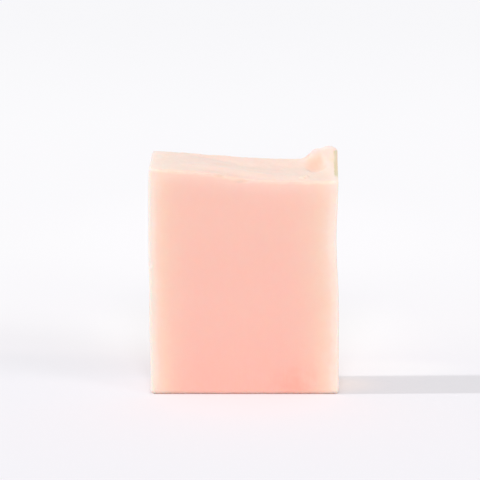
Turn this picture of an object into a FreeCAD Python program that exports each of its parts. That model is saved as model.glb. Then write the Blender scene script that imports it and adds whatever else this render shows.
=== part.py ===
import FreeCAD, Part
import math
import os

# A bar of hand-made soap, one solid piece. It was cut by wire from a loaf that was poured into a lined mould and
# swirled on top with a spoon. It stands on the face that lay on the mould's floor.
#
# Millimetres. X runs across the bar, from the left mould wall to the right one. Y runs along the loaf, from the
# front cut face to the back one. Z is up. The origin is at the middle of the bar's box, at the base.

# The slice
base_width = 64.5           # between the mould walls, just above the floor
bar_thickness = 26.0        # between the two wire cuts
trough_height = 73.8        # the swirled top where it is lowest, at the front right
mould_corner_radius = 1.3   # where the mould's walls meet its floor
cut_edge_radius = 0.75      # rubbed round every wire-cut edge, and the rim of the top
corner_left_by_rub = 0.2    # the least share of the mould corner's radius that the rubbing leaves

# The liner of the mould was slack, so the sides wave. Up from the mould corner, each stretch is an arc, given by
# its share of the height between that corner and the trough, and by how far it leans out at its upper end, in
# millimetres for each millimetre. Above the last one the side goes on straight.
left_side_waves = [(0.13, 0.0), (0.1, 0.05), (0.09, 0.006), (0.5, 0.006), (0.21, -0.035), (0.09, -0.55)]
right_side_waves = [(0.37, 0.0), (0.17, -0.077), (0.18, 0.0), (0.06, 0.0), (0.06, 0.08), (0.05, 0.03)]

# The top was pushed up against the back cut, and its left half stands higher than its right half. The step
# between them runs slantwise, and spreads out towards the back.
back_rise = 3.6             # the back above the front, all along the bar
step_rise_front = 3.9       # the left half above the right half, at the front cut
step_rise_back = 3.45       # the same at the back cut
step_inset_front = 25.6     # from the left wall to the middle of the step, at the front cut
step_inset_back = 20.5      # the same at the back cut
step_spread_front = 4.9     # how gently the step goes down, at the front cut
step_spread_back = 10.6     # the same at the back cut
left_lip_rise = 0.7         # where the left wall held the soap up, at the front
left_lip_reach = 4.0        # how far across the bar that rise dies away

# Spoon strokes: soft ridges (height above 0) and furrows (below 0) along a bowed line. Each starts and ends at
# a distance from the left wall and from the front cut, bows sideways, and fades out at both ends.
spoon_strokes = [
    {"start": (14.0, 9.0), "end": (40.0, 4.6), "bow": 0.6, "width": 1.5, "height": 1.0},
    {"start": (15.0, 23.0), "end": (34.0, 16.0), "bow": 0.6, "width": 1.5, "height": -0.6},
    {"start": (33.0, 15.5), "end": (52.0, 17.0), "bow": -0.6, "width": 2.6, "height": -0.5},
    {"start": (38.0, 5.2), "end": (53.0, 5.0), "bow": 0.0, "width": 2.2, "height": 0.45},
]

# The peak that the spoon drew up in the back right corner, the bowl that it left in the peak's front, and the
# ridge that runs forward from the peak along the right mould wall.
peak_height = 4.8
peak_inset = 7.6            # from the right wall to the peak's middle
peak_setback = 3.6          # from the back cut to the peak's middle
peak_reach_left = 3.3       # how far the peak runs out across the bar, to the left
peak_reach_right = 10.0     # the same to the right, past the wall
peak_reach_front = 4.0      # how far it runs out along the loaf
peak_squareness = 2.2       # 2 is a round hill, and more gives steeper flanks
bowl_depth = 2.4
bowl_inset = 7.6            # from the right wall to the bowl's middle
bowl_setback = 9.0          # from the back cut to the bowl's middle
bowl_reach_across = 3.0
bowl_reach_along = 4.2
wall_ridge_height = 1.9
wall_ridge_inset = 2.1      # from the right wall to the ridge's crest
wall_ridge_width = 2.2
wall_ridge_reach = 13.0     # how far forward of the back cut it keeps half its height
wall_ridge_fade = 3.2       # how gently it dies away there

# The grid of points that the swirled surface passes through
grid_spacing = 1.95
grid_margin = 3.0           # beyond the slice on every side, so that the surface cuts right through
stock_headroom = 6.0        # loaf left above the highest swirl before the top is cut

half_width = base_width / 2
half_thickness = bar_thickness / 2
same_place = 1e-4           # how near a plane counts as on it


def fade(value, place, spread):
    """1 well below place, 0 well above it, and an even slope of that spread between."""
    return 1 / (1 + math.exp((value - place) / spread))


def mix(front, back, share):
    return front + (back - front) * share


def stroke_height(stroke, across, along):
    """The height that one spoon stroke adds at a point given from the left wall and from the front cut."""
    start_across, start_along = stroke["start"]
    end_across, end_along = stroke["end"]
    run_across = end_across - start_across
    run_along = end_along - start_along
    length = math.hypot(run_across, run_along)
    ahead = ((across - start_across) * run_across + (along - start_along) * run_along) / length
    aside = ((along - start_along) * run_across - (across - start_across) * run_along) / length
    share = ahead / length
    line = 4 * stroke["bow"] * share * (1 - share)
    section = math.exp(-((aside - line) ** 2) / (2 * stroke["width"] ** 2))
    ends = (1 - fade(ahead, 0, stroke["width"])) * fade(ahead, length, stroke["width"])
    return stroke["height"] * section * ends


def step_height(across, share):
    rise = mix(step_rise_front, step_rise_back, share)
    inset = mix(step_inset_front, step_inset_back, share)
    spread = mix(step_spread_front, step_spread_back, share)
    return rise * fade(across, inset, spread)


def peak_rise(from_right, from_back):
    reach_across = peak_reach_left if from_right > peak_inset else peak_reach_right
    away = math.hypot((from_right - peak_inset) / reach_across, (from_back - peak_setback) / peak_reach_front)
    return peak_height * math.exp(-(away ** peak_squareness))


def bowl_dip(from_right, from_back):
    away = math.hypot((from_right - bowl_inset) / bowl_reach_across, (from_back - bowl_setback) / bowl_reach_along)
    return bowl_depth * math.exp(-(away ** 2))


def wall_ridge_rise(from_right, from_back):
    section = math.exp(-((from_right - wall_ridge_inset) ** 2) / (2 * wall_ridge_width ** 2))
    return wall_ridge_height * section * fade(from_back, wall_ridge_reach, wall_ridge_fade)


def top_height(x, y):
    """Height of the swirled top above the base."""
    across = x + half_width
    along = y + half_thickness
    from_right = half_width - x
    from_back = half_thickness - y
    share = along / bar_thickness
    height = trough_height + back_rise * share + step_height(across, share)
    height += left_lip_rise * math.exp(-across / left_lip_reach) * (1 - share)
    height += sum(stroke_height(stroke, across, along) for stroke in spoon_strokes)
    height += peak_rise(from_right, from_back) - bowl_dip(from_right, from_back)
    height += wall_ridge_rise(from_right, from_back)
    return height


def grid_places(half):
    """Evenly spaced places from one margin to the other, at about the grid's spacing."""
    reach = half + grid_margin
    steps = round(2 * reach / grid_spacing)
    return [reach * (2 * i / steps - 1) for i in range(steps + 1)]


def swirl_surface():
    points = [
        [FreeCAD.Vector(x, y, top_height(x, y)) for y in grid_places(half_thickness)]
        for x in grid_places(half_width)
    ]
    surface = Part.BSplineSurface()
    surface.interpolate(points)
    return surface, max(point.z for row in points for point in row)


def front_point(sign, out, height):
    """A point on the front cut, out from the middle towards the left (sign -1) or the right (sign 1)."""
    return FreeCAD.Vector(sign * out, -half_thickness, height)


def wave_arc(sign, out, height, rise, lean_start, lean_end):
    """One stretch of a side, and where it ends. It leaves at one lean and arrives at the other."""
    first = math.atan(lean_start)
    last = math.atan(lean_end)
    if math.isclose(first, last):
        end_out = out + rise * math.tan(first)
        ends = front_point(sign, out, height), front_point(sign, end_out, height + rise)
        return Part.LineSegment(*ends), end_out
    radius = rise / (math.sin(last) - math.sin(first))
    middle = (first + last) / 2
    way_out = out + radius * (math.cos(first) - math.cos(middle))
    way_height = height + radius * (math.sin(middle) - math.sin(first))
    end_out = out + radius * (math.cos(first) - math.cos(last))
    start = front_point(sign, out, height)
    way = front_point(sign, way_out, way_height)
    return Part.Arc(start, way, front_point(sign, end_out, height + rise)), end_out


def side_curves(sign, waves, top):
    """A moulded side, from the top of its mould corner up to the stock's top."""
    out, height, lean = half_width, mould_corner_radius, 0.0
    curves = []
    for share, next_lean in waves:
        rise = share * (trough_height - mould_corner_radius)
        curve, out = wave_arc(sign, out, height, rise, lean, next_lean)
        curves.append(curve)
        height += rise
        lean = next_lean
    curve, out = wave_arc(sign, out, height, top - height, lean, lean)
    return curves + [curve], front_point(sign, out, top)


def mould_corner(sign):
    """The arc from the base up into one side."""
    centre = half_width - mould_corner_radius
    middle = mould_corner_radius * math.sqrt(0.5)
    start = front_point(sign, centre, 0)
    way = front_point(sign, centre + middle, mould_corner_radius - middle)
    return Part.Arc(start, way, front_point(sign, half_width, mould_corner_radius))


def loaf_slice(top):
    """The slice before its top is shaped: the mould's section, as long as the bar is thick."""
    left, left_end = side_curves(-1, left_side_waves, top)
    right, right_end = side_curves(1, right_side_waves, top)
    floor_end = half_width - mould_corner_radius
    base = Part.LineSegment(front_point(-1, floor_end, 0), front_point(1, floor_end, 0))
    lid = Part.LineSegment(left_end, right_end)
    curves = [base, mould_corner(1)] + right + [lid] + left + [mould_corner(-1)]
    outline = Part.Wire(Part.__sortEdges__([curve.toShape() for curve in curves]))
    return Part.Face(outline).extrude(FreeCAD.Vector(0, bar_thickness, 0))


def on_a_cut(edge):
    return math.isclose(abs(edge.CenterOfMass.y), half_thickness, abs_tol=same_place)


def rubbed(bar):
    """The bar with its wire-cut edges and the rim of its swirled top rounded."""
    swirl = next(face for face in bar.Faces if isinstance(face.Surface, Part.BSplineSurface))
    edges = [edge for edge in bar.Edges if on_a_cut(edge)]
    edges += [edge for edge in swirl.Edges if not on_a_cut(edge)]
    radius = min(cut_edge_radius, (1 - corner_left_by_rub) * mould_corner_radius)
    return bar.makeFillet(radius, edges)


def soap_bar():
    surface, highest = swirl_surface()
    stock_top = highest + stock_headroom
    above = surface.toShape().extrude(FreeCAD.Vector(0, 0, stock_top))
    bar = rubbed(loaf_slice(stock_top).cut(above).Solids[0])
    box = bar.optimalBoundingBox(False, False)
    bar.translate(FreeCAD.Vector(-box.Center.x, 0, 0))
    return bar


def export_part(name, shape):
    os.makedirs("parts", exist_ok=True)
    shape.exportStep(os.path.join("parts", name + ".step"))
    box = shape.optimalBoundingBox(False, False)
    print(name, "volume cm3", round(shape.Volume / 1000, 2), "valid", shape.isValid(), "solids", len(shape.Solids))
    print("  x", round(box.XMin, 2), round(box.XMax, 2), "y", round(box.YMin, 2), round(box.YMax, 2),
          "z", round(box.ZMin, 2), round(box.ZMax, 2))


export_part("soap_bar", soap_bar())
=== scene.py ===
import bpy
import math
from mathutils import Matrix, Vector
from mathutils.bvhtree import BVHTree


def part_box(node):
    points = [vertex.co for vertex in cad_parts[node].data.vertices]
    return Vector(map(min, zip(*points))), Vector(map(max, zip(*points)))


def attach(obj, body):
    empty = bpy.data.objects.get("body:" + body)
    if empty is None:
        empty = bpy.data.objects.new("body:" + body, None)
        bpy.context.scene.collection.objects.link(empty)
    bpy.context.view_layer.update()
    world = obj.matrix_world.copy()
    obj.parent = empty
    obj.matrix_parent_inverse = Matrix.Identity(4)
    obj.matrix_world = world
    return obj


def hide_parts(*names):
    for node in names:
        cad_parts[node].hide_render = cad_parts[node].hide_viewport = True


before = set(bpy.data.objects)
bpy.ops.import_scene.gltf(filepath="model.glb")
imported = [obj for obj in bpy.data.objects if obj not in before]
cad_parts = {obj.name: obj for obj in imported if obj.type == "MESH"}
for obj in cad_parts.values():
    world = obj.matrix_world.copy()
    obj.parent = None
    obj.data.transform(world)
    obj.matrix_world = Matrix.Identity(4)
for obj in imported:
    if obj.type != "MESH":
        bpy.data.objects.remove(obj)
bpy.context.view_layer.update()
barLow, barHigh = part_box("soap_bar")
mm = 0.001


def deselectAll():
    if bpy.context.object and bpy.context.object.mode != "OBJECT":
        bpy.ops.object.mode_set(mode="OBJECT")
    bpy.ops.object.select_all(action="DESELECT")


def pick(obj):
    deselectAll()
    obj.select_set(True)
    bpy.context.view_layer.objects.active = obj


def applyModifiers(obj):
    pick(obj)
    for name in [modifier.name for modifier in obj.modifiers]:
        bpy.ops.object.modifier_apply(modifier=name)


def addModifier(obj, name, kind, **values):
    modifier = obj.modifiers.new(name, kind)
    for key, value in values.items():
        setattr(modifier, key, value)


deselectAll()
print("frame loaded, the bar's box is", [round(size / mm, 2) for size in barHigh - barLow], "mm")

# The bar's mesh: a fine copy of the solid, with chips, crumbs and the unevenness that hand cutting leaves

bar = {
    "merge": 0.001 * mm,                  # corners of the solid's loose triangles this near become one
    "ballFineness": 3,                    # of the balls that cut the chips and make the crumbs
    # places from the origin, and sizes as radii, both in millimetres
    "cuts": [
        {"place": (-32.5, -13.0, 45.1), "size": (1.0, 1.0, 0.9)},     # the nick in the left edge
        {"place": (-8.2, -13.0, 76.1), "size": (1.2, 0.8, 0.55)},     # broken places along the front lip
        {"place": (-1.9, -13.1, 74.5), "size": (1.8, 0.6, 0.5)},
        {"place": (0.9, -13.1, 73.9), "size": (1.4, 0.55, 0.45)},
    ],
    "crumbs": [                           # scraps of soap that lie in front of the bowl
        {"place": (19.7, -10.1, 74.65), "size": (0.6, 0.55, 0.6)},
        {"place": (21.4, -8.7, 74.75), "size": (0.6, 0.6, 0.8)},
    ],
    "voxel": 0.44 * mm,                   # how fine the mesh is
    "smoothing": 3,                       # how many times it is smoothed, and how strongly
    "softness": 0.5,
    # where each kind of surface is: how far its normal leans its own way, and from which height up
    "topLean": (0.1, 0.6),
    "topFrom": (68 * mm, 71 * mm),
    "cutLean": (0.6, 0.95),
    "sideLean": (0.5, 0.95),
    "sideFrom": (1.5 * mm, 6 * mm),
    "edgeLean": (0.02, 0.2),              # how far the normal leans away from every face's own direction
    "leastWeight": 0.01,
    # the unevenness: how wide and how high its waves are, and the level of the noise that leaves the
    # surface where it is, so that at 1 they only go in
    "waves": {
        "topCloud": {"on": "top", "size": 3.6 * mm, "height": 0.34 * mm, "level": 0.5, "detail": 2},
        "topGrain": {"on": "top", "size": 1.2 * mm, "height": 0.12 * mm, "level": 0.5, "detail": 2},
        "cutWaves": {"on": "cut", "size": 14.0 * mm, "height": 0.22 * mm, "level": 1.0, "detail": 1},
        "sideWaves": {"on": "side", "size": 9.0 * mm, "height": 0.2 * mm, "level": 0.8, "detail": 1},
        "edgeWear": {"on": "edge", "size": 2.6 * mm, "height": 0.3 * mm, "level": 0.9, "detail": 2},
    },
    # the skins that the paler soap lies near: the least lean of their faces, and the height they start at
    "sideSkin": {"lean": 0.85, "from": 2 * mm},
    "topSkin": {"lean": 0.8, "from": 68 * mm},
    "rimSkin": {"lean": 0.35, "from": 68 * mm},                       # the peak's steep flanks too
    "rightShare": 0.8,                    # what a depth counts for on the right, where it goes deeper
}


def scaledBall(name, values):
    deselectAll()
    bpy.ops.mesh.primitive_ico_sphere_add(subdivisions=bar["ballFineness"], radius=mm,
                                          location=Vector(values["place"]) * mm)
    ball = bpy.context.object
    ball.name = name
    ball.scale = values["size"]
    pick(ball)
    bpy.ops.object.transform_apply(location=True, rotation=True, scale=True)
    return ball


def cutAway(target, tool):
    addModifier(target, "chip", "BOOLEAN", operation="DIFFERENCE", object=tool, solver="EXACT")
    applyModifiers(target)
    bpy.data.objects.remove(tool)


def copyOfSolid():
    piece = bpy.data.objects.new("soap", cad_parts["soap_bar"].data.copy())
    bpy.context.scene.collection.objects.link(piece)
    pick(piece)
    bpy.ops.object.mode_set(mode="EDIT")
    bpy.ops.mesh.select_all(action="SELECT")
    bpy.ops.mesh.remove_doubles(threshold=bar["merge"])
    bpy.ops.object.mode_set(mode="OBJECT")
    piece.data.materials.clear()
    return piece


def ramp(value, span):
    share = min(max((value - span[0]) / (span[1] - span[0]), 0.0), 1.0)
    return share * share * (3 - 2 * share)


def topWeight(place, normal):
    return ramp(normal.z, bar["topLean"]) * ramp(place.z, bar["topFrom"])


def cutWeight(place, normal):
    return ramp(abs(normal.y), bar["cutLean"])


def sideWeight(place, normal):
    return ramp(abs(normal.x), bar["sideLean"]) * ramp(place.z, bar["sideFrom"])


def edgeWeight(place, normal):
    # the rounded edges are where the normal points well away from every face's own direction
    largest = max(abs(normal.x), abs(normal.y), abs(normal.z))
    return ramp(1 - largest, bar["edgeLean"]) * (1 - topWeight(place, normal))


def weightGroup(piece, name, weightAt):
    group = piece.vertex_groups.new(name=name)
    for vertex in piece.data.vertices:
        weight = weightAt(vertex.co, vertex.normal)
        if weight > bar["leastWeight"]:
            group.add([vertex.index], min(weight, 1.0), "REPLACE")


def roughen(piece):
    kinds = {"top": topWeight, "cut": cutWeight, "side": sideWeight, "edge": edgeWeight}
    for kind, weightAt in kinds.items():
        weightGroup(piece, kind, weightAt)
    for name, values in bar["waves"].items():
        texture = bpy.data.textures.new(name, "CLOUDS")
        texture.noise_scale = values["size"]
        texture.noise_depth = values["detail"]
        addModifier(piece, name, "DISPLACE", texture=texture, texture_coords="LOCAL",
                    strength=values["height"], mid_level=values["level"], vertex_group=values["on"])
    applyModifiers(piece)


def makeBar():
    piece = copyOfSolid()
    for cut in bar["cuts"]:
        cutAway(piece, scaledBall("cutTool", cut))
    crumbs = [scaledBall("crumb", crumb) for crumb in bar["crumbs"]]
    pick(piece)
    for crumb in crumbs:
        crumb.select_set(True)
    bpy.ops.object.join()
    addModifier(piece, "fineSkin", "REMESH", mode="VOXEL", voxel_size=bar["voxel"], adaptivity=0.0)
    addModifier(piece, "soften", "SMOOTH", factor=bar["softness"], iterations=bar["smoothing"])
    applyModifiers(piece)
    roughen(piece)
    for vertex in piece.data.vertices:    # nothing stands past the solid's own box
        vertex.co = [min(max(vertex.co[i], barLow[i]), barHigh[i]) for i in range(3)]
    pick(piece)
    bpy.ops.object.shade_smooth()
    return piece


def isSideSkin(face):
    skin = bar["sideSkin"]
    return abs(face.normal.x) > skin["lean"] and face.center.z > skin["from"]


def isTopSkin(face):
    skin = bar["topSkin"]
    return face.normal.z > skin["lean"] and face.center.z > skin["from"]


def isRimSkin(face):
    skin = bar["rimSkin"]
    return face.normal.z > skin["lean"] and face.center.z > skin["from"]


def storeDepth(piece, name, isSkin, rightShare=1.0):
    # how far each point lies from a skin of the bar; the share shortens it on the right
    mesh = piece.data
    skin = [list(face.vertices) for face in mesh.polygons if isSkin(face)]
    tree = BVHTree.FromPolygons([vertex.co for vertex in mesh.vertices], skin)
    shares = [rightShare if vertex.co.x > 0 else 1.0 for vertex in mesh.vertices]
    depths = [tree.find_nearest(vertex.co)[3] * share for vertex, share in zip(mesh.vertices, shares)]
    mesh.attributes.new(name, "FLOAT", "POINT").data.foreach_set("value", depths)


soap = makeBar()
storeDepth(soap, "sideDepth", isSideSkin, bar["rightShare"])
storeDepth(soap, "topDepth", isTopSkin)
storeDepth(soap, "rimDepth", isRimSkin)
print("bar made,", len(soap.data.polygons), "faces")

# The soap itself

soapLook = {
    "inner": (0.99, 0.545, 0.462),        # the cut faces, well inside the bar
    "upper": (0.99, 0.565, 0.475),        # the same higher up
    "lower": (0.99, 0.525, 0.445),        # the same near the base
    "toInner": (0.0, 35 * mm),            # the heights over which lower changes to inner, and inner to upper
    "toUpper": (35 * mm, 70 * mm),
    "blush": (0.98, 0.44, 0.36),          # the deeper patch in the lower right corner
    "blushPlace": {"place": (22, -13, 3), "reach": (17, 30, 13), "core": 0.0, "share": 1.0},
    "blushCloud": {"scale": 160, "detail": 3, "span": (0.3, 0.6)},
    "warm": (0.99, 0.64, 0.515),          # between the pink and the skin
    "warmUpTo": 0.35,                     # how pale it is where the warm colour is pure
    "skin": (0.995, 0.785, 0.70),         # the dried skin of the moulded sides and the top, also laid into the cut faces as painted glow of light scattered in at the edges
    # how much of that paleness, partly painted glow, is left at each share of the reach in from a side or the
    # top
    "sidePaleAndGlowFade": [(0.0, 1.0), (0.05, 0.95), (0.12, 0.78), (0.165, 0.58), (0.20, 0.50), (0.30, 0.34),
                 (0.45, 0.18), (0.70, 0.06), (1.0, 0.0)],
    "sideReach": 16 * mm,                 # how far in from a moulded side its paleness shows
    "topPaleAndGlowFade": [(0.0, 0.68), (0.04, 0.50), (0.10, 0.40), (0.17, 0.35), (0.31, 0.25), (0.46, 0.15),
                (0.60, 0.07), (1.0, 0.0)],
    "topReach": 9 * mm,                   # the same from the top
    "blotches": {"scale": 120, "detail": 3, "span": (0.3, 0.7)},
    "wander": 0.7 * mm,                   # how far the blotches move the edges of the paleness
    # painted light on the upper left corner, where the front shoulder catches the light
    "shoulderGlow": {"place": (-32.0, -13.0, 71.5), "reach": (5.0, 30.0, 9.0), "core": 0.0, "share": 0.5},
    # the front lip keeps less of the top's paleness, partly its own pinker colour and partly painted shade on
    # the light along its rounded edge: how far this reaches from the front cut and down from the top, and how
    # much of the top's paleness is left there
    "lipBack": (0.3 * mm, 2.4 * mm),
    "lipDown": (0.3 * mm, 0.8 * mm),
    "lipLeft": 0.6,
    "hollowShade": (0.98, 0.64, 0.52),         # painted shade: soap in shade painted warmer and pinker, as in the bowl
    # painted shade in the bowl, before it, at the peak's foot, in the furrow, on the slope and at the left
    # lip; a warmer tone on the low half
    "warmShadePlaces": [                      # where shade is painted warmer, in millimetres
        {"place": (24.3, 4.8, 76.6), "reach": (4.3, 6.0, 3.0), "core": 0.45, "share": 0.8},     # the bowl
        {"place": (26.5, -8.5, 75.0), "reach": (6.0, 6.5, 3.0), "core": 0.0, "share": 0.3},     # before it
        {"place": (30.0, 2.8, 77.8), "reach": (3.5, 6.0, 3.0), "core": 0.0, "share": 0.35},     # peak's foot
        {"place": (12.0, 0.0, 75.5), "reach": (17.0, 14.0, 5.0), "core": 0.0, "share": 0.2},    # low half
        {"place": (-5.6, 1.5, 77.2), "reach": (8.0, 2.4, 2.4), "core": 0.0, "share": 0.45},     # long furrow
        {"place": (-3.5, -11.8, 75.4), "reach": (9.0, 4.5, 3.2), "core": 0.0, "share": 0.48},   # the slope
        {"place": (-30.5, -12.7, 77.0), "reach": (8.0, 2.0, 2.5), "core": 0.0, "share": 0.35},  # left lip
    ],
    "mottle": {"scale": 420, "detail": 5, "span": (0.35, 0.7)},
    "mottleShare": 0.05,
    "smear": {                            # of gold colour, along the rim of the peak's right flank
        "colour": (0.68, 0.60, 0.355),
        "line": 1.2 * mm,                 # in from the bar's right end, the line that it is measured from
        "inner": (-0.85 * mm, -0.2 * mm),             # where it starts across that line
        "outer": (0.7 * mm, 0.95 * mm),   # where it thins out towards the side, and what is left there
        "outerShare": 0.2,
        "front": (-8.5 * mm, -5.5 * mm),  # where its front end fades
        "low": (73 * mm, 74 * mm),        # the heights between which it lies
        "high": (80.8 * mm, 81.4 * mm),
        "down": (0.9 * mm, 2.1 * mm),     # how far below the rim it ends
        "ragged": {"scale": 420, "detail": 2, "span": (0.35, 0.65)},
        "raggedness": 0.12 * mm,
        "hook": {"place": (30.5, 4.7, 78.5), "reach": (1.0, 1.3, 0.75), "core": 0.0, "share": 0.7},
    },
    "marks": [                            # small places of another colour, laid on in this order; most are painted light and shade
        # painted shade on the peak's left flank, its crest and its front, and a haze of gold beside the smear
        {"colour": (0.75, 0.685, 0.69), "place": (21.5, 9.0, 81.6), "reach": (8.0, 9.0, 3.6),
         "core": 0.3, "share": 0.75},
        {"colour": (0.86, 0.76, 0.76), "place": (27.5, 9.4, 82.9), "reach": (7.0, 9.0, 1.9),
         "core": 0.2, "share": 0.8},
        {"colour": (0.86, 0.695, 0.65), "place": (29.5, 5.0, 79.5), "reach": (3.5, 9.0, 5.0),
         "core": 0.2, "share": 0.5},
        {"colour": (0.97, 0.76, 0.56), "place": (30.4, 5.0, 79.0), "reach": (1.7, 6.0, 2.6),
         "core": 0.2, "share": 0.4},
        # painted light inside the nick in the left edge, and painted shade below it
        {"colour": (1.0, 0.90, 0.86), "place": (-32.2, -12.8, 45.1), "reach": (1.1, 1.5, 1.1),
         "core": 0.2, "share": 0.8},
        {"colour": (0.78, 0.70, 0.62), "place": (-31.6, -13.0, 43.6), "reach": (0.9, 1.5, 1.1),
         "core": 0.1, "share": 0.7},
        # painted shade in and under the chips in the front lip
        {"colour": (0.71, 0.54, 0.44), "place": (-8.3, -13.0, 75.9), "reach": (2.2, 1.6, 1.1),
         "core": 0.2, "share": 0.65},
        {"colour": (0.71, 0.54, 0.44), "place": (-1.3, -13.0, 74.0), "reach": (3.2, 1.6, 1.0),
         "core": 0.2, "share": 0.6},
    ],
    "middle": (-1 * mm, 1 * mm),          # where left changes to right
    "edgeShade": (0.80, 0.68, 0.65),        # painted shade on the very surface of the moulded sides, where the light falls on their rounded edges
    "edgeShadeDepth": (0.2 * mm, 1.3 * mm),
    "edgeShadeShares": (0.8, 0.25),         # on the left and on the right
    "leftBandShade": (0.76, 0.73, 0.655),      # the left side's skin where the front cut shows it end on, partly its own greyer colour and partly painted shade
    "bandDepth": (1.0 * mm, 3.4 * mm),
    "bandBack": (0.2 * mm, 0.9 * mm),     # how far behind the front cut it ends
    "bandShares": (0.6, 0.0),
    "footShade": (0.60, 0.43, 0.37),           # painted contact shade on the edge that touches the floor
    "footShadeHeight": (0.2 * mm, 1.6 * mm),
    "footShadeShare": 0.5,
    "roughness": (0.36, 0.52),
    "ior": 1.45,
    "scatterDepth": 3.0 * mm,
    "scatterColours": (1.0, 0.6, 0.45),
    "grain": {"scale": 2600, "detail": 4},
    "grainShare": 0.6,                    # how high the grain is beside the drag lines
    "drag": {"scale": 1400, "detail": 2, "stretch": (1.0, 1.0, 0.03)},
    "dragIn": (0.7 * mm, 0.2 * mm),       # in from a cut face, where the drag lines start and are full
    "bumpStrength": 0.35,
    "bumpHeight": 0.12 * mm,
}

nodeGrid = {"rows": 7, "across": 220, "down": 280}    # how the nodes stand in the editor


def addNode(tree, kind, **values):
    column, row = divmod(len(tree.nodes), nodeGrid["rows"])
    node = tree.nodes.new(kind)
    node.location = (column * nodeGrid["across"], -row * nodeGrid["down"])
    for key, value in values.items():
        setattr(node, key, value)
    return node


def fill(tree, socket, value):
    if isinstance(value, tuple):
        socket.default_value = value + (1.0,)
    elif isinstance(value, (int, float)):
        socket.default_value = value
    else:
        tree.links.new(value, socket)


def mathNode(tree, operation, *values, clamp=False):
    node = addNode(tree, "ShaderNodeMath", operation=operation, use_clamp=clamp)
    for socket, value in zip(node.inputs, values):
        fill(tree, socket, value)
    return node.outputs[0]


def product(tree, first, *others):
    for other in others:
        first = mathNode(tree, "MULTIPLY", first, other)
    return first


def mapRange(tree, value, span, to=(0.0, 1.0), kind="SMOOTHSTEP"):
    node = addNode(tree, "ShaderNodeMapRange", interpolation_type=kind, clamp=True)
    tree.links.new(value, node.inputs["Value"])
    for name, number in zip(("From Min", "From Max", "To Min", "To Max"), (*span, *to)):
        node.inputs[name].default_value = number
    return node.outputs["Result"]


def mixColour(tree, factor, first, second):
    node = addNode(tree, "ShaderNodeMix", data_type="RGBA")
    for index, value in ((0, factor), (6, first), (7, second)):       # 6 and 7 are the colour sockets
        fill(tree, node.inputs[index], value)
    return node.outputs[2]


def colourRamp(tree, value, stops):
    node = addNode(tree, "ShaderNodeValToRGB")
    while len(node.color_ramp.elements) < len(stops):
        node.color_ramp.elements.new(1.0)
    for element, (position, colour) in zip(node.color_ramp.elements, stops):
        element.position = position
        element.color = colour + (1.0,)
    tree.links.new(value, node.inputs[0])
    return node.outputs[0]


def noise(tree, coordinates, values):
    if "stretch" in values:
        mapping = addNode(tree, "ShaderNodeMapping")
        mapping.inputs["Scale"].default_value = values["stretch"]
        tree.links.new(coordinates, mapping.inputs["Vector"])
        coordinates = mapping.outputs[0]
    node = addNode(tree, "ShaderNodeTexNoise")
    node.inputs["Scale"].default_value = values["scale"]
    node.inputs["Detail"].default_value = values["detail"]
    tree.links.new(coordinates, node.inputs["Vector"])
    return node.outputs["Fac"]


def near(tree, coordinates, values):
    # the share at a place given in millimetres, fading to 0 at the reach away from it along each axis
    place, reach = values["place"], values["reach"]
    mapping = addNode(tree, "ShaderNodeMapping")
    mapping.inputs["Scale"].default_value = [1 / (size * mm) for size in reach]
    mapping.inputs["Location"].default_value = [-place[i] / reach[i] for i in range(3)]
    tree.links.new(coordinates, mapping.inputs["Vector"])
    length = addNode(tree, "ShaderNodeVectorMath", operation="LENGTH")
    tree.links.new(mapping.outputs[0], length.inputs[0])
    inside = mapRange(tree, length.outputs["Value"], (1.0, values["core"]))
    return mathNode(tree, "MULTIPLY", inside, values["share"])


def laidOn(tree, coordinates, colour, places):
    for values in places:
        colour = mixColour(tree, near(tree, coordinates, values), colour, values["colour"])
    return colour


def fadeByDepth(tree, depth, stops, reach):
    # how much of a skin's paleness is left at a distance from it
    share = mapRange(tree, depth, (0.0, reach), kind="LINEAR")
    return colourRamp(tree, share, [(position, (left,) * 3) for position, left in stops])


def bothPale(tree, first, second):
    # how pale the soap is where two things pale it: 1 - (1 - first)(1 - second)
    inverses = [mathNode(tree, "SUBTRACT", 1.0, value) for value in (first, second)]
    return mathNode(tree, "SUBTRACT", 1.0, product(tree, *inverses))


def fromFront(span):
    return [-barHigh.y + depth for depth in span]


def whereOnBar(tree):
    # what the parts of the soap's colour are placed by
    coordinates = addNode(tree, "ShaderNodeTexCoord").outputs["Object"]
    separate = addNode(tree, "ShaderNodeSeparateXYZ")
    tree.links.new(coordinates, separate.inputs[0])
    at = {"place": coordinates, **dict(zip("xyz", separate.outputs))}
    for name in ("sideDepth", "topDepth", "rimDepth"):
        at[name] = addNode(tree, "ShaderNodeAttribute", attribute_name=name).outputs["Fac"]
    wander = soapLook["wander"]
    at["blotches"] = noise(tree, coordinates, soapLook["blotches"])
    at["wander"] = mapRange(tree, at["blotches"], soapLook["blotches"]["span"], (-wander, wander), "LINEAR")
    return at


def pinkOfCut(tree, at):
    # the cut faces: pink, deeper towards the base and in the lower right corner
    pink = mixColour(tree, mapRange(tree, at["z"], soapLook["toInner"]), soapLook["lower"], soapLook["inner"])
    pink = mixColour(tree, mapRange(tree, at["z"], soapLook["toUpper"]), pink, soapLook["upper"])
    corner = near(tree, at["place"], soapLook["blushPlace"])
    cloudy = noise(tree, at["place"], soapLook["blushCloud"])
    patch = product(tree, corner, mapRange(tree, cloudy, soapLook["blushCloud"]["span"]))
    return mixColour(tree, patch, pink, soapLook["blush"])


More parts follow.
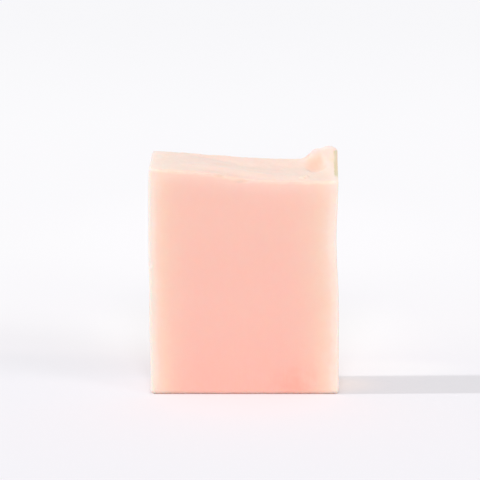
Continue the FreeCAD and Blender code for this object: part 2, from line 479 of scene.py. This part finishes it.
def withSidesPaleAndGlow(tree, at, pink):
    # the skin of the sides shows pale some way into the cut faces, partly as painted glow of light scattered
    # in at the sides
    depth = mathNode(tree, "ADD", at["sideDepth"], at["wander"])
    sidePaleAndGlow = fadeByDepth(tree, depth, soapLook["sidePaleAndGlowFade"], soapLook["sideReach"])
    sidePaleAndGlow = bothPale(tree, sidePaleAndGlow, near(tree, at["place"], soapLook["shoulderGlow"]))
    turn = soapLook["warmUpTo"]
    toWarm = mapRange(tree, sidePaleAndGlow, (0.0, turn), kind="LINEAR")
    toSkin = mapRange(tree, sidePaleAndGlow, (turn, 1.0), kind="LINEAR")
    return mixColour(tree, toSkin, mixColour(tree, toWarm, pink, soapLook["warm"]), soapLook["skin"])


def withTopPaleAndGlow(tree, at, colour):
    # and so does the top's, partly as painted glow, but less of it is left along the front lip, partly as
    # painted shade
    topPaleAndGlow = fadeByDepth(tree, at["topDepth"], soapLook["topPaleAndGlowFade"], soapLook["topReach"])
    back = mapRange(tree, at["y"], fromFront(soapLook["lipBack"]), (1.0, 0.0))
    down = mapRange(tree, at["topDepth"], soapLook["lipDown"], (1.0, 0.0))
    left = mapRange(tree, product(tree, back, down), (0.0, 1.0), (1.0, soapLook["lipLeft"]))
    return mixColour(tree, product(tree, topPaleAndGlow, left), colour, soapLook["skin"])


def withWarmShade(tree, at, colour):
    # painted shade: warmer and pinker in the hollows and on the slopes turned from the light
    warmShade = 0.0
    for values in soapLook["warmShadePlaces"]:
        warmShade = mathNode(tree, "ADD", warmShade, near(tree, at["place"], values), clamp=True)
    return mixColour(tree, warmShade, colour, soapLook["hollowShade"])


def withMottle(tree, at, colour):
    mottle = noise(tree, at["place"], soapLook["mottle"])
    darker = mapRange(tree, mottle, soapLook["mottle"]["span"], (0.0, soapLook["mottleShare"]), "LINEAR")
    return mixColour(tree, darker, colour, soapLook["blush"])


def withSmear(tree, at, colour):
    # a ragged band along the right rim of the top, with a hook at the left of it
    smear = soapLook["smear"]
    fromLine = mathNode(tree, "SUBTRACT", at["x"], barHigh.x - smear["line"])
    ragged = noise(tree, at["place"], smear["ragged"])
    wobble = mapRange(tree, ragged, smear["ragged"]["span"], (-smear["raggedness"], smear["raggedness"]))
    across = mapRange(tree, mathNode(tree, "ADD", fromLine, wobble), smear["inner"])
    outer = mapRange(tree, fromLine, smear["outer"], (1.0, smear["outerShare"]))
    band = product(tree, across, mapRange(tree, at["y"], smear["front"]), outer)
    share = mathNode(tree, "MAXIMUM", band, near(tree, at["place"], smear["hook"]))
    above = mapRange(tree, at["z"], smear["low"])
    below = mapRange(tree, at["z"], smear["high"], (1.0, 0.0))
    down = mapRange(tree, mathNode(tree, "ADD", at["rimDepth"], at["wander"]), smear["down"], (1.0, 0.0))
    return mixColour(tree, product(tree, share, above, below, down), colour, smear["colour"])


def withMarks(tree, at, colour):
    return laidOn(tree, at["place"], colour, soapLook["marks"])


def withEdgeShade(tree, at, colour):
    # painted shade on the outer skin of the sides, against the light on their rounded edges, most on the left
    edgeShade = mapRange(tree, at["sideDepth"], soapLook["edgeShadeDepth"], (1.0, 0.0))
    leftward = mapRange(tree, at["x"], soapLook["middle"], soapLook["edgeShadeShares"])
    colour = mixColour(tree, product(tree, edgeShade, leftward), colour, soapLook["edgeShade"])
    # the left side's skin seen end on at the front cut, partly its own colour and partly painted shade
    band = mapRange(tree, at["sideDepth"], soapLook["bandDepth"], (1.0, 0.0))
    onLeft = mapRange(tree, at["x"], soapLook["middle"], soapLook["bandShares"])
    onFront = mapRange(tree, at["y"], fromFront(soapLook["bandBack"]), (1.0, 0.0))
    return mixColour(tree, product(tree, band, onLeft, onFront), colour, soapLook["leftBandShade"])


def withFootShade(tree, at, colour):
    # painted contact shade along the foot
    footShade = mapRange(tree, at["z"], soapLook["footShadeHeight"], (soapLook["footShadeShare"], 0.0))
    return mixColour(tree, footShade, colour, soapLook["footShade"])


def bumpNormal(tree, at):
    # fine grain everywhere, and the wire's upright drag lines on the cut faces
    grain = product(tree, noise(tree, at["place"], soapLook["grain"]), soapLook["grainShare"])
    fromMiddle = mathNode(tree, "ABSOLUTE", at["y"])
    onCut = mapRange(tree, fromMiddle, [barHigh.y - depth for depth in soapLook["dragIn"]])
    drag = product(tree, noise(tree, at["place"], soapLook["drag"]), onCut)
    bump = addNode(tree, "ShaderNodeBump")
    bump.inputs["Strength"].default_value = soapLook["bumpStrength"]
    bump.inputs["Distance"].default_value = soapLook["bumpHeight"]
    tree.links.new(mathNode(tree, "ADD", grain, drag), bump.inputs["Height"])
    return bump.outputs[0]


def makeSoapMaterial():
    material = bpy.data.materials.new("soapFinish")
    material.use_nodes = True
    tree = material.node_tree
    tree.nodes.clear()
    at = whereOnBar(tree)
    colour = pinkOfCut(tree, at)
    for addTo in (withSidesPaleAndGlow, withTopPaleAndGlow, withWarmShade, withMottle, withSmear, withMarks, withEdgeShade,
                  withFootShade):
        colour = addTo(tree, at, colour)
    satin = mapRange(tree, at["blotches"], soapLook["blotches"]["span"], soapLook["roughness"])
    normal = bumpNormal(tree, at)
    shader = addNode(tree, "ShaderNodeBsdfPrincipled")
    tree.links.new(colour, shader.inputs["Base Color"])
    tree.links.new(satin, shader.inputs["Roughness"])
    tree.links.new(normal, shader.inputs["Normal"])
    shader.inputs["IOR"].default_value = soapLook["ior"]
    shader.inputs["Subsurface Weight"].default_value = 1.0
    shader.inputs["Subsurface Radius"].default_value = soapLook["scatterColours"]
    shader.inputs["Subsurface Scale"].default_value = soapLook["scatterDepth"]
    output = addNode(tree, "ShaderNodeOutputMaterial")
    tree.links.new(shader.outputs[0], output.inputs[0])
    return material


soap.data.materials.append(makeSoapMaterial())
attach(soap, "root")
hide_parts("soap_bar")
print("soap material made")

# The stage: a pale floor, soft studio light and the camera

stage = {
    "floorSize": 9.0,
    "floorReach": 1.1,                    # how far behind the bar the floor's colour changes
    # painted light and shade on the floor, its colour by the share of that distance
    "floorLightRamp": [
        (0.013, (0.91, 0.90, 0.94)),
        (0.095, (0.947, 0.935, 0.96)),
        (0.146, (0.95, 0.94, 0.965)),
        (0.229, (0.962, 0.953, 0.973)),
        (0.293, (0.958, 0.950, 0.971)),
        (0.34, (0.956, 0.949, 0.970)),
        (0.55, (0.956, 0.951, 0.971)),
        (0.95, (0.93, 0.928, 0.948)),
    ],
    "floorLightAndShade": [                      # painted light and shade, in millimetres, laid on in this order
        # the middle of the floor, which is lit a little more
        {"colour": (0.977, 0.966, 0.987), "place": (0, 285, 0), "reach": (110, 150, 50),
         "core": 0.4, "share": 0.8},
        # painted light behind the bar, where the photograph shows no shade
        {"colour": (0.99, 0.985, 0.995), "place": (3, 85, 0), "reach": (80, 90, 50),
         "core": 0.3, "share": 1.0},
        # painted light along the far side of the hard shadow
        {"colour": (0.99, 0.985, 0.995), "place": (48, 27, 0), "reach": (40, 20, 10),
         "core": 0.3, "share": 0.5},
        # in the shadow's near end, where light comes through the soap
        {"colour": (0.99, 0.96, 0.96), "place": (32, 3, 0), "reach": (20, 19, 10),
         "core": 0.1, "share": 1.0},
        # in the soft shade on the left
        {"colour": (0.86, 0.86, 0.90), "place": (-85, 32, 0), "reach": (75, 32, 10),
         "core": 0.2, "share": 0.5},
    ],
    "worldLight": 0.66,                   # how strongly the world lights the scene
    "backdropWhite": 0.95,                # how bright it is where it is seen itself
    # each lamp is far away, as a sun lamp is: where it stands seen from the bar, in degrees round from the
    # front (minus is to the left) and above the floor, how wide its light source is, and its strength
    "lamps": {
        "keyFromLeft": {"round": -88.3, "above": 33.0, "wide": 1.6, "strength": 1.0},
        "softFromRight": {"round": 50.0, "above": 27.0, "wide": 18.0, "strength": 0.30},
        "softFromFront": {"round": 0.0, "above": 30.0, "wide": 18.0, "strength": 0.82},
    },
    "camera": {
        "place": (-1.30 * mm, -1113.0 * mm, 259.87 * mm),
        "down": 10.614,                   # degrees below level
        "lens": 247.44,
        "sensor": 36.0,
        "clip": (0.05, 30.0),
    },
}


def makeFloor():
    deselectAll()
    bpy.ops.mesh.primitive_plane_add(size=stage["floorSize"])
    floor = bpy.context.object
    floor.name = "floor"
    material = bpy.data.materials.new("paleFloor")
    material.use_nodes = True
    tree = material.node_tree
    tree.nodes.clear()
    coordinates = addNode(tree, "ShaderNodeTexCoord").outputs["Object"]
    separate = addNode(tree, "ShaderNodeSeparateXYZ")
    tree.links.new(coordinates, separate.inputs[0])
    behind = mapRange(tree, separate.outputs[1], (0.0, stage["floorReach"]), kind="LINEAR")
    colour = colourRamp(tree, behind, stage["floorLightRamp"])
    colour = laidOn(tree, coordinates, colour, stage["floorLightAndShade"])
    shader = addNode(tree, "ShaderNodeBsdfDiffuse")
    tree.links.new(colour, shader.inputs["Color"])
    output = addNode(tree, "ShaderNodeOutputMaterial")
    tree.links.new(shader.outputs[0], output.inputs[0])
    floor.data.materials.append(material)


def background(tree, strength):
    node = addNode(tree, "ShaderNodeBackground")
    node.inputs["Color"].default_value = (1.0, 1.0, 1.0, 1.0)
    node.inputs["Strength"].default_value = strength
    return node.outputs[0]


def makeWorld():
    world = bpy.data.worlds.new("studio")
    bpy.context.scene.world = world
    world.use_nodes = True
    tree = world.node_tree
    tree.nodes.clear()
    path = addNode(tree, "ShaderNodeLightPath")
    shown = mathNode(tree, "MAXIMUM", path.outputs["Is Camera Ray"], path.outputs["Is Glossy Ray"])
    shown = mathNode(tree, "MAXIMUM", shown, path.outputs["Is Transmission Ray"])
    mix = addNode(tree, "ShaderNodeMixShader")
    tree.links.new(shown, mix.inputs[0])
    tree.links.new(background(tree, stage["worldLight"]), mix.inputs[1])
    tree.links.new(background(tree, stage["backdropWhite"]), mix.inputs[2])
    output = addNode(tree, "ShaderNodeOutputWorld")
    tree.links.new(mix.outputs[0], output.inputs[0])


def makeLamp(name, values):
    light = bpy.data.lights.new(name, "SUN")
    light.energy = values["strength"]
    light.angle = math.radians(values["wide"])
    lamp = bpy.data.objects.new(name, light)
    bpy.context.scene.collection.objects.link(lamp)
    around, above = math.radians(values["round"]), math.radians(values["above"])
    level = math.cos(above)
    lamp.location = (level * math.sin(around), -level * math.cos(around), math.sin(above))
    lamp.rotation_euler = (-lamp.location).to_track_quat("-Z", "Y").to_euler()


def makeCamera():
    values = stage["camera"]
    lens = bpy.data.cameras.new("camera")
    lens.sensor_width = values["sensor"]
    lens.lens = values["lens"]
    lens.clip_start, lens.clip_end = values["clip"]
    camera = bpy.data.objects.new("camera", lens)
    bpy.context.scene.collection.objects.link(camera)
    camera.location = values["place"]
    camera.rotation_euler = (math.radians(90 - values["down"]), 0, 0)
    bpy.context.scene.camera = camera


makeFloor()
makeWorld()
for lampName, lampValues in stage["lamps"].items():
    makeLamp(lampName, lampValues)
makeCamera()
bpy.context.scene.view_settings.view_transform = "Standard"
print("stage, lamps and camera set")
